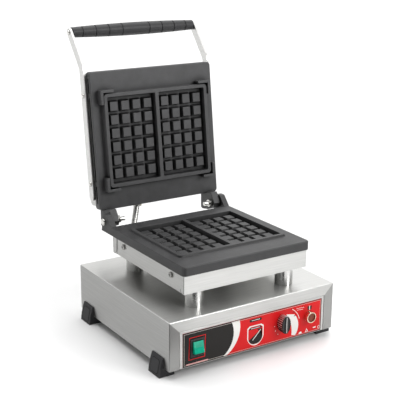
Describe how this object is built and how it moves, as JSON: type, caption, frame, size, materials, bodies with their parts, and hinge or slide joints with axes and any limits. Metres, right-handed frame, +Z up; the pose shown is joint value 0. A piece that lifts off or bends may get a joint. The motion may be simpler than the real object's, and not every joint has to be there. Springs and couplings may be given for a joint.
{
  "type": "waffle maker",
  "caption": "Counter waffle maker with two square-celled fields, a hinged upper plate with a bow handle, thermostat knob, rocker switch and lamp.",
  "frame": {"origin": "middle of the box round the whole machine with its lid open, at the level of the feet", "axes": "+X to the right seen from the front, +Y to the back, +Z up"},
  "size_m": [0.3586, 0.4392, 0.5291],
  "materials": {
    "brushed_stainless": "brushed stainless sheet",
    "zinc_plated_sheet": "zinc-plated steel sheet",
    "polished_stainless": "polished stainless tube",
    "stainless_bar": "satin stainless bar",
    "bright_fasteners": "bright zinc or stainless",
    "cast_iron": "cast iron with a dark non-stick finish",
    "rubber": "moulded, matt",
    "printed_film": "printed polyester film, satin",
    "black_plastic": "moulded, satin",
    "knob_plastic": "moulded, with a silvered skirt",
    "grip_plastic": "turned, matt",
    "green_translucent": "translucent, gloss",
    "amber_lens": "translucent, gloss",
    "hose_metal": "interlocked galvanised strip",
    "nickel_brass": "nickel plated",
    "element_steel": "oxidised tube",
    "mineral_wool": "felted",
    "terminal_ceramic": "glazed ceramic",
    "wire_insulation": "glass-fibre sleeve"
  },
  "bodies": {
    "base": {"back_panel": "brushed_stainless", "back_panel_screws": "bright_fasteners", "base_plate": "zinc_plated_sheet", "cable_gland": "black_plastic", "cable_gland_nut": "black_plastic", "column_front_left": "polished_stainless", "column_front_right": "polished_stainless", "column_nuts": "bright_fasteners", "column_rear_left": "polished_stainless", "column_rear_right": "polished_stainless", "column_studs": "bright_fasteners", "conduit": "hose_metal", "conduit_lower_gland": "nickel_brass", "control_panel": "brushed_stainless", "foot_front_left": "rubber", "foot_front_right": "rubber", "foot_nuts": "bright_fasteners", "foot_rear_left": "rubber", "foot_rear_right": "rubber", "foot_screws": "bright_fasteners", "hinge_bolts": "bright_fasteners", "hinge_nuts": "bright_fasteners", "housing_shell": "brushed_stainless", "internal_wires": "wire_insulation", "lower_clamp_screws": "bright_fasteners", "lower_clamp_sheet": "zinc_plated_sheet", "lower_heating_element": "element_steel", "lower_insulation": "mineral_wool", "lower_plate": "cast_iron", "lower_tray": "brushed_stainless", "panel_label": "printed_film", "pilot_lamp_bezel": "bright_fasteners", "pilot_lamp_body": "black_plastic", "pilot_lamp_lens": "amber_lens", "power_switch_body": "black_plastic", "terminal_block": "terminal_ceramic", "thermostat_body": "zinc_plated_sheet", "thermostat_probe": "bright_fasteners", "tray_front_sheet": "brushed_stainless", "tray_rear_sheet": "brushed_stainless", "tray_screws": "bright_fasteners"},
    "lid": {"upper_plate": "cast_iron", "upper_cover": "brushed_stainless", "cover_screws": "bright_fasteners", "upper_insulation": "mineral_wool", "upper_heating_element": "element_steel", "upper_clamp_sheet": "zinc_plated_sheet", "upper_clamp_screws": "bright_fasteners", "arm_left": "stainless_bar", "arm_right": "stainless_bar", "arm_spacers": "bright_fasteners", "arm_screws": "bright_fasteners", "handle_rod": "stainless_bar", "handle_grip": "grip_plastic", "handle_end_screws": "bright_fasteners", "conduit_upper_gland": "nickel_brass"},
    "knob": {"thermostat_knob": "knob_plastic", "thermostat_shaft": "bright_fasteners"},
    "rocker": {"power_switch_rocker": "green_translucent"}
  },
  "joints": [
    {"name": "lid_hinge", "type": "hinge", "parent": "base", "child": "lid", "pos_m": [0, 0.09292, 0.1837], "axis": [1, 0, 0], "range_deg": [0, 97], "deforming": ["conduit"]},
    {"name": "knob_turn", "type": "hinge", "parent": "base", "child": "knob", "pos_m": [0.056, -0.20408, 0.051], "axis": [0, 1, 0], "range_deg": [0, 270]},
    {"name": "rocker_tilt", "type": "hinge", "parent": "base", "child": "rocker", "pos_m": [-0.117, -0.20348, 0.0478], "axis": [1, 0, 0], "range_deg": [0, 30]}
  ]
}
